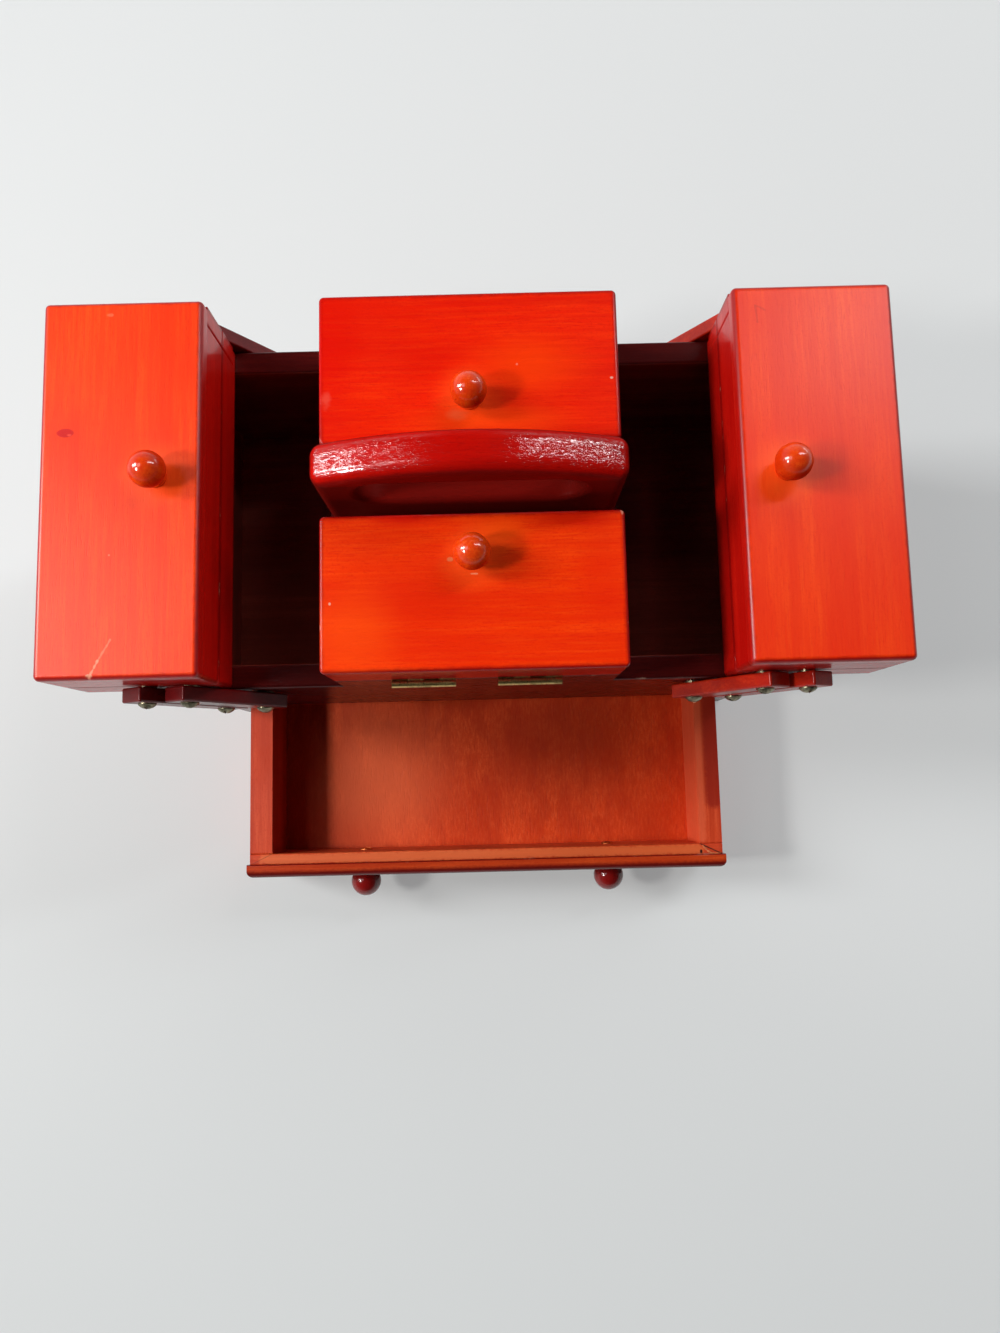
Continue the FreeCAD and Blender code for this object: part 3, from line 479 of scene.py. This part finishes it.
def dress_lids():
    """The lids' orange tops shade into deep red over their rounded edges."""
    for number, (name, marks) in enumerate(LID_MARKS.items()):
        grain = ALONG_X if name in ("front", "rear") else ALONG_Y
        box = joined_box(f"{name}_lid_top", f"{name}_lid_frame")
        knob = knob_centre(f"{name}_lid_knob")
        halo = spot(knob.x, knob.y, 17, 17, (0.95, 0.12, 0.014), 0.45, ragged=0.5, core=0.2)
        hollow = {"wall": BOX_WALL * MM, "top": LID_TOP * MM}
        crown, satin, contrast, ior = ("tray_lid", 0.32, 1.0, 1.42)
        if name in ("front", "rear"):
            crown, satin, contrast, ior = (f"{name}_lid", 0.20, 1.1, 1.25)
        top = wood(f"{name}_lid_top_wood", grain, 3 + number, "side", box, crown, hollow, [halo, *marks],
                   gloss=1.0, coat_roughness=satin, contrast=contrast, depth=0.03, coat_ior=ior)
        frame_wood = wood(f"{name}_lid_frame_wood", ALONG_BOARDS, 9 + number, "side", box, None, hollow)
        dress([f"{name}_lid_top"], top)
        dress([f"{name}_lid_frame"], frame_wood)


def dress_boards(names, name, seed, paint, **looks):
    """Give a box's boards one wood. Its grain runs along each board, also on its upper edge."""
    box = joined_box(*names)
    ends = ("left_wall", "right_wall", "inner_wall", "outer_wall")
    sides = [node for node in names if node.endswith(ends)]
    others = [node for node in names if node not in sides]
    for grain, nodes in ((ALONG_Y, sides), (ALONG_X, others)):
        dress(nodes, wood(f"{name}_wood_{grain}", grain, seed, paint, box, None, **looks))


def dress_boxes():
    """The centre box and the trays."""
    walls = ("front", "rear", "left", "right")
    centre = ["centre_bottom"] + [f"centre_{wall}_wall" for wall in walls]
    hollow = {"wall": BOX_WALL * MM, "bottom": BOX_BOTTOM * MM}
    dress_boards(centre, "centre", 15, "case", hollow=hollow)
    # The partitions take the darker hollow paint, partly painted shade.
    dress(["centre_partitions"], wood("partition_wood", ALONG_X, 16, "shaded_inside", gloss=0.0, roughness=0.6))
    for number, side in enumerate(("left", "right")):
        tray = [f"{side}_tray_bottom"]
        tray += [f"{side}_tray_{wall}_wall" for wall in ("front", "rear", "inner", "outer")]
        dress_boards(tray, f"{side}_tray", 17 + number, "side", hollow=hollow)


def handle_lacquer(graph):
    """The lacquer left on the handle: streaks of it near the ends of the top, none where hands rub."""
    place = graph.place()
    x, _, z = graph.split(place)
    ends = graph.ramp(graph.math("ABSOLUTE", x), 4 * MM, 26 * MM)
    streaks = graph.noise(stretched(graph, place, 16 * MM, 1.3 * MM, 29), detail=4, roughness=0.7)
    left = graph.math("MULTIPLY", ends, graph.ramp(streaks, 0.38, 0.52, 0.1, 1.0))
    return graph.math("MULTIPLY", left, graph.math("GREATER_THAN", z, HANDLE_TOP * MM))


def dress_case():
    """The case is a deeper red outside, and its hollow takes a dark matt paint that is partly painted shade.
    """
    case = ["base_panel", "case_floor"]
    case += [f"case_{wall}_wall" for wall in ("front", "rear", "left", "right")]
    hollow = {"wall": CASE_WALL * MM, "bottom": CASE_FLOOR * MM}
    dress_boards(case, "case", 21, "case", hollow=hollow, depth=0.06)
    # The guides take the darker hollow paint, partly painted shade.
    dress(["drawer_guides"], wood("guide_wood", ALONG_Y, 22, "shaded_inside", gloss=0.0, roughness=0.6))
    # Painted shade: the handle's faces under its top, the slot's included, darkened.
    sunk = below(HANDLE_TOP, (0.13, 0.006, 0.004), 0.8)
    # The handle's upward faces take its paint, and its sides a darker copy of it as painted shade.
    dress(["handle_board"], wood("handle_wood", ALONG_X, 23, "handle_shaded_side", None, "handle", gloss=1.0,
                                 marks=[sunk], depth=0.05, contrast=0.8, coat_roughness=0.07, ripple=0.10,
                                 coat_ior=1.9, crown_slopes=(0.45, 0.75), coat_slopes=(0.78, 0.92),
                                 coat_grain=1.5, coat_left=handle_lacquer))


def dress_drawer():
    """The drawer's box is matt terracotta, and its face panel is lacquered."""
    low, high = joined_box("drawer_box_front", "drawer_left_side", "drawer_right_side")
    outer_y, inner_y = (corner.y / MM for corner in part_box("drawer_box_front"))
    inner_x, outer_x = (corner.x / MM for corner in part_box("drawer_right_side"))
    mitres = [streak(side * inner_x, inner_y, side * outer_x, outer_y, width, (0.05, 0.008, 0.004), strength)
              for side, width, strength in ((-1, 0.22, 0.45), (1, 0.42, 0.95))]
    pit = spot(inner_x + 0.4, inner_y - 3.7, 0.9, 1.3, (0.02, 0.004, 0.003), 1.0)
    # Painted light: a paler patch on the left of the drawer's floor.
    pale = spot(-62, -112, 58, 60, (0.86, 0.17, 0.06), 0.50, core=0.1)
    # Painted shade: a duller patch at the rear right of the drawer's floor.
    painted_shade_rear_right = spot(46, -92, 52, 42, (0.34, 0.020, 0.004), 0.45, core=0.1)
    front_y = (inner_y + outer_y) / 2
    light_front = streak(-inner_x - 4, front_y, inner_x - 1, front_y, 3.4, (0.84, 0.19, 0.05), 0.5,
                         ragged=1.2, every_side=True)
    deep_side = streak(inner_x + 8, inner_y + 22, inner_x + 8.4, -60, 6.5, (0.34, 0.014, 0.004), 0.85,
                       ragged=0.5)
    # Painted light: a paler band along the right side's lit inner edge and face.
    painted_light_side = streak(inner_x + 1.0, inner_y + 3, inner_x + 1.0, -60, 3.2, (0.84, 0.13, 0.05), 0.6,
                       ragged=0.5, every_side=True)
    marks = [light_front, deep_side, painted_light_side, *mitres, pit]
    boards = {
        ALONG_X: ["drawer_box_front", "drawer_back"],
        ALONG_Y: ["drawer_left_side", "drawer_right_side"],
    }
    for grain, names in boards.items():
        dress(names, wood(f"drawer_wall_wood_{grain}", grain, 25, "drawer", (low, high), marks=marks,
                          gloss=0.0, roughness=0.50, edges=0.25, wear=0.4, specular=0.25))
    dress(["drawer_bottom"], wood("drawer_floor_wood", ALONG_Y, 26, "drawer_floor", marks=[pale, painted_shade_rear_right],
                                  gloss=0.0, roughness=0.50, specular=0.15, fibre_length=4,
                                  figure_length=26, depth=0.05))
    dress_panel()


def dress_panel():
    """The drawer's face panel is orange on top, and darkens over its rounded edge as painted shade."""
    low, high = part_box("drawer_face_panel")
    # Painted shade: a dark band over the panel's rounded front edge.
    shaded_nose = streak(low.x / MM, low.y / MM, high.x / MM, low.y / MM, 4.4, (0.13, 0.005, 0.004), 0.9,
                  ragged=0.3, every_side=True)
    # The panel's sides take a darker copy of its paint as painted shade.
    dress(["drawer_face_panel"], wood("drawer_face_wood", ALONG_X, 27, "panel_shaded_face", (low, high), "panel",
                                      marks=[shaded_nose], wear=0.15, gloss=0.8, edges=0.2,
                                      coat_roughness=0.2, crown_slopes=(0.90, 0.999)))


def dress_small_parts():
    """Knobs, links, hinges and screws."""
    for number, name in enumerate(("front", "rear", "left", "right")):
        dress([f"{name}_lid_knob"], wood(f"{name}_knob_wood", ALONG_Z, 31 + number, "knob", gloss=1.0,
                                         depth=0.01, contrast=0.8, coat_roughness=0.15, coat_ior=1.6,
                                         coat_slopes=(0.45, 0.80)))
    dress(["drawer_knobs"], wood("drawer_knob_wood", ALONG_Y, 36, "drawer_knob", gloss=1.0, depth=0.01,
                                 contrast=0.7, coat_roughness=0.14))
    # The left links take a darker copy of the links' paint as painted shade.
    for side, paint in (("left", "shaded_link"), ("right", "link")):
        dress([f"{side}_inner_links", f"{side}_outer_links"],
              wood(f"{side}_link_wood", ALONG_Z, 37, paint, gloss=0.6, coat_roughness=0.25))
    hinges = [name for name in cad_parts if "hinge" in name]
    dress(hinges, metal("hinge_brass", (0.60, 0.43, 0.17), (0.26, 0.18, 0.07), 0.30, 41))
    screws = [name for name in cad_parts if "pivot_screws" in name]
    dress(screws, metal("screw_brass", (0.30, 0.27, 0.18), (0.09, 0.085, 0.055), 0.34, 43))


# Small pieces that the frame leaves out

def new_piece(name, mesh, material, body):
    """Show a mesh as a piece of the object that rides on a body."""
    mesh.materials.append(material)
    piece = bpy.data.objects.new(name, mesh)
    bpy.context.scene.collection.objects.link(piece)
    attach(piece, body)
    return piece


def slotted_head(shape, place, radius, rise, slot_width, slot_depth):
    """Add a domed screw head to a mesh. It stands on its place's local XY plane."""
    columns = 14
    half = slot_width / 2
    steps = [0.999, 0.93, 0.8, 0.62, 0.42, 0.25]
    rows = [(-radius * step, 0) for step in steps] + [(-half, 0), (-half, 1), (half, 1), (half, 0)]
    rows += [(radius * step, 0) for step in reversed(steps)]
    grid = []
    for y, sunk in rows:
        reach = math.sqrt(radius ** 2 - y ** 2)
        line = []
        for column in range(columns + 1):
            x = -reach * math.cos(math.pi * column / columns)
            height = rise * math.sqrt(max(0.0, 1 - (x * x + y * y) / radius ** 2) + 0.08) - sunk * slot_depth
            line.append(shape.verts.new(place @ Vector((x, y, height))))
        grid.append(line)
    for line, following in zip(grid, grid[1:]):
        for column in range(columns):
            shape.faces.new([line[column], line[column + 1], following[column + 1], following[column]])
    rim = grid[0] + [line[-1] for line in grid[1:-1]] + grid[-1][::-1] + [line[0] for line in grid[-2:0:-1]]
    foot = [shape.verts.new(place @ flat_point(place, vert)) for vert in rim]
    for number, vert in enumerate(rim):
        after = (number + 1) % len(rim)
        shape.faces.new([rim[after], vert, foot[number], foot[after]])
    shape.faces.new(foot)


def flat_point(place, vert):
    """A vertex's point in a place's own frame, dropped just below its XY plane."""
    point = place.inverted() @ vert.co
    return Vector((point.x, point.y, -0.05 * MM))


def mesh_of(name, build):
    """Make a mesh by a function that fills a bmesh."""
    shape = bmesh.new()
    build(shape)
    bmesh.ops.recalc_face_normals(shape, faces=shape.faces)
    mesh = bpy.data.meshes.new(name)
    shape.to_mesh(mesh)
    shape.free()
    return mesh


def build_leaf_screws(material):
    """Two small countersunk screws in each hinge leaf, seen when a lid is open."""
    leaves = {
        "centre_hinge_leaves": "case", "left_tray_hinge_leaves": "left_tray",
        "right_tray_hinge_leaves": "right_tray", "front_lid_hinge_leaves": "front_lid",
        "rear_lid_hinge_leaves": "rear_lid", "left_lid_hinge_leaves": "left_lid",
        "right_lid_hinge_leaves": "right_lid",
    }
    for node, body in leaves.items():
        up = 1 if body in ("case", "left_tray", "right_tray") else -1
        height = SEAM_HEIGHT * MM - up * LEAF_SINK * MM
        spots = leaf_spots(body)

        def build(shape):
            for number, (x, y) in enumerate(spots):
                turn = Matrix.Rotation(0.7 + 1.9 * number, 4, "Z")
                flip = Matrix.Rotation(0 if up > 0 else math.pi, 4, "X")
                place = Matrix.Translation((x, y, height)) @ flip @ turn
                slotted_head(shape, place, 1.3 * MM, 0.08 * MM, 0.4 * MM, 0.3 * MM)
        new_piece(node.replace("leaves", "leaf_screws"), mesh_of(node, build), material, body)


def leaf_spots(body):
    """Where the screws of a body's hinge leaves stand."""
    steps = (-LEAF_SCREW_STEP * MM, LEAF_SCREW_STEP * MM)
    if body in ("left_tray", "right_tray", "left_lid", "right_lid"):
        side = -1 if body.startswith("left") else 1
        x = side * (TRAY_HINGE_X - LEAF_REACH) * MM
        return [(x, middle * MM + step) for middle in TRAY_HINGE_MIDDLES for step in steps]
    ends = {"front_lid": (-1,), "rear_lid": (1,), "case": (-1, 1)}[body]
    return [(middle * MM + step, end * (CENTRE_HINGE_Y - LEAF_REACH) * MM)
            for end in ends for middle in CENTRE_HINGE_MIDDLES for step in steps]


def build_knob_screws(material):
    """The screws that hold the drawer's knobs, seen on the inner face of the box front."""
    inner_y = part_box("drawer_box_front")[1].y
    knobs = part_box("drawer_knobs")
    height = (knobs[0].z + knobs[1].z) / 2

    def build(shape):
        for side in (-1, 1):
            place = Matrix.Translation((side * DRAWER_KNOB_X * MM, inner_y, height))
            place = place @ Matrix.Rotation(-math.pi / 2, 4, "X") @ Matrix.Rotation(0.5 * side, 4, "Z")
            slotted_head(shape, place, 3.2 * MM, 1.1 * MM, 0.8 * MM, 0.7 * MM)
    new_piece("drawer_knob_screws", mesh_of("drawer_knob_screws", build), material, "drawer")


def build_filler():
    """A ridge of pale glue that filled the drawer's cracked front corner."""
    material, graph = new_material("glue")
    speck = graph.noise(graph.place(), detail=3, scale=900)
    colour = graph.mix(speck, (0.50, 0.10, 0.025), (0.70, 0.20, 0.07))
    finish_material(graph, colour, 0.5, [(speck, 0.1 * MM)], Specular_IOR_Level=0.4)
    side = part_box("drawer_right_side")
    top = side[1].z
    corner = Vector((side[0].x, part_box("drawer_box_front")[1].y, 0))
    steps = ((1.2, -0.7), (3.3, -3.3), (5.4, -4.7), (8.0, -4.9), (10.2, -4.7))
    route = [corner + Vector((*step, 0)) * MM for step in steps]
    count = 26
    columns = 8

    def build(shape):
        random.seed(5)
        rings = []
        for number, point in enumerate(smooth_route(route, count)):
            share = number / (count - 1)
            width = (0.22 + 0.30 * math.sin(math.pi * share)) * (0.7 + 0.6 * random.random()) * MM
            rise = 0.55 * width
            line = []
            foot = Vector((point.x, point.y, top - 0.05 * MM))
            for step in range(columns + 1):
                angle = math.pi * step / columns
                offset = Vector((0.7, 0.7, 0)) * math.cos(angle) * width
                line.append(shape.verts.new(foot + offset + Vector((0, 0, rise * math.sin(angle)))))
            rings.append(line)
        for line, following in zip(rings, rings[1:]):
            for step in range(columns):
                shape.faces.new([line[step], line[step + 1], following[step + 1], following[step]])
            shape.faces.new([line[0], following[0], following[-1], line[-1]])
        shape.faces.new(rings[0])
        shape.faces.new(rings[-1][::-1])
    new_piece("corner_glue", mesh_of("corner_glue", build), material, "drawer")


def smooth_route(points, count):
    """Points evenly spread by number along a smooth line through others."""
    route = []
    for number in range(count):
        share = number / (count - 1) * (len(points) - 1)
        first = min(int(share), len(points) - 2)
        route.append(points[first].lerp(points[first + 1], share - first))
    return route


# Stage

def seen_directly(graph):
    """1 for rays from the camera, in a reflection or through glass, and 0 for those that light."""
    path = graph.tree.nodes.new("ShaderNodeLightPath")
    seen = graph.math("MAXIMUM", path.outputs["Is Camera Ray"], path.outputs["Is Glossy Ray"])
    return graph.math("MAXIMUM", seen, path.outputs["Is Transmission Ray"])


def build_floor():
    """A pale floor that darkens towards the front, partly as painted shade, and turns into the pale backdrop
    far away.
    """
    material, graph = new_material("floor")
    away = graph.vector("LENGTH", graph.place(), outlet="Value")
    mottle = graph.noise(graph.place(), detail=3, scale=3)
    colour = graph.mix(mottle, FLOOR_FAR, FLOOR_LIGHT)
    # Darker towards the front: partly the floor's own tone, partly painted shade.
    near = graph.ramp(graph.split(graph.place())[1], 0.05, -0.42)
    colour = graph.mix(near, colour, FLOOR_FRONT_TONE_AND_SHADE)
    diffuse = graph.node("ShaderNodeBsdfDiffuse", {"Color": colour, "Roughness": 0.5})
    far = graph.node("ShaderNodeEmission", {"Color": (*BACKDROP, 1), "Strength": 1.0})
    share = graph.math("MULTIPLY", graph.ramp(away, 0.6, 1.5, 0.35, 1.0), seen_directly(graph))
    mixed = graph.node("ShaderNodeMixShader", {0: share, 1: diffuse, 2: far})
    output = graph.tree.nodes.new("ShaderNodeOutputMaterial")
    graph.feed(output.inputs["Surface"], mixed)

    def build(shape):
        bmesh.ops.create_circle(shape, cap_ends=True, segments=96, radius=FLOOR_RADIUS)
    floor = bpy.data.objects.new("floor", mesh_of("floor", build))
    floor.data.materials.append(material)
    floor.location.z = -FLOOR_DROP
    bpy.context.scene.collection.objects.link(floor)


def build_world():
    """Surroundings that look pale, and light the box softly from the left and the rear."""
    world = bpy.data.worlds.new("surroundings")
    world.use_nodes = True
    bpy.context.scene.world = world
    graph = Graph(world.node_tree)
    x, y, z = graph.split(graph.place("Generated"))
    wall = graph.ramp(z, 0.68, 0.34)
    left = graph.ramp(x, 0.3, -0.8, 0.0, WORLD_LEFT)
    rear = graph.ramp(y, -0.3, 0.7, 0.0, WORLD_REAR)
    level = graph.math("ADD", graph.math("ADD", left, rear), WORLD_WALL)
    level = graph.math("ADD", graph.math("MULTIPLY", wall, level), WORLD_CEILING)
    surroundings = graph.node("ShaderNodeBackground", {"Color": (*WORLD_COLOUR, 1), "Strength": level})
    backdrop = graph.node("ShaderNodeBackground", {"Color": (*BACKDROP, 1), "Strength": 1.0})
    low_down = graph.math("MULTIPLY", seen_directly(graph), graph.ramp(z, 0.20, 0.04))
    path = graph.tree.nodes.new("ShaderNodeLightPath")
    pale = graph.math("MAXIMUM", low_down, path.outputs["Is Camera Ray"])
    mixed = graph.node("ShaderNodeMixShader", {0: pale, 1: surroundings, 2: backdrop})
    output = graph.tree.nodes.new("ShaderNodeOutputWorld")
    graph.feed(output.inputs["Surface"], mixed)


def add_window(name, first, last, distance, width, radiance, colour, mirrored=True):
    """A soft panel round the box. It runs from the direction of its first end to that of its last."""
    ends = [Vector(end).normalized() * distance for end in (first, last)]
    middle = (ends[0] + ends[1]) / 2
    length = (ends[1] - ends[0]).length
    outward = middle.normalized()
    along = (ends[1] - ends[0]).normalized()
    turn = Matrix((along, outward.cross(along), outward)).transposed().to_4x4()
    light = bpy.data.lights.new(name, "AREA")
    light.shape = "RECTANGLE"
    light.size = length
    light.size_y = width
    light.energy = radiance * math.pi * length * width
    light.color = colour
    lamp = bpy.data.objects.new(name, light)
    lamp.matrix_world = Matrix.Translation(middle + Vector((0, 0, LAMP_LIFT))) @ turn
    lamp.visible_camera = False
    lamp.visible_glossy = mirrored
    bpy.context.scene.collection.objects.link(lamp)


def build_lights():
    """A near lamp at the upper left, windows on the left and the right rear, and a soft rear fill."""
    for window in WINDOWS:
        add_window(*window)


def build_camera():
    camera = bpy.data.objects.new("camera", bpy.data.cameras.new("camera"))
    camera.location = CAMERA_PLACE
    camera.rotation_euler = CAMERA_TURN
    camera.data.sensor_fit = "AUTO"
    camera.data.sensor_width = SENSOR
    camera.data.lens = SENSOR * CAMERA_FOCAL / PHOTO_HEIGHT
    camera.data.clip_start = CLIP_START
    bpy.context.scene.collection.objects.link(camera)
    bpy.context.scene.camera = camera


def main():
    dress_lids()
    dress_boxes()
    dress_case()
    dress_drawer()
    dress_small_parts()
    small_brass = metal("small_brass", (0.42, 0.33, 0.16), (0.20, 0.15, 0.08), 0.32, 47)
    build_leaf_screws(small_brass)
    build_knob_screws(metal("stained_screw", (0.78, 0.24, 0.07), (0.24, 0.035, 0.012), 0.45, 51))
    build_filler()
    build_floor()
    build_world()
    build_lights()
    build_camera()
    bpy.context.scene.view_settings.view_transform = "Standard"


main()
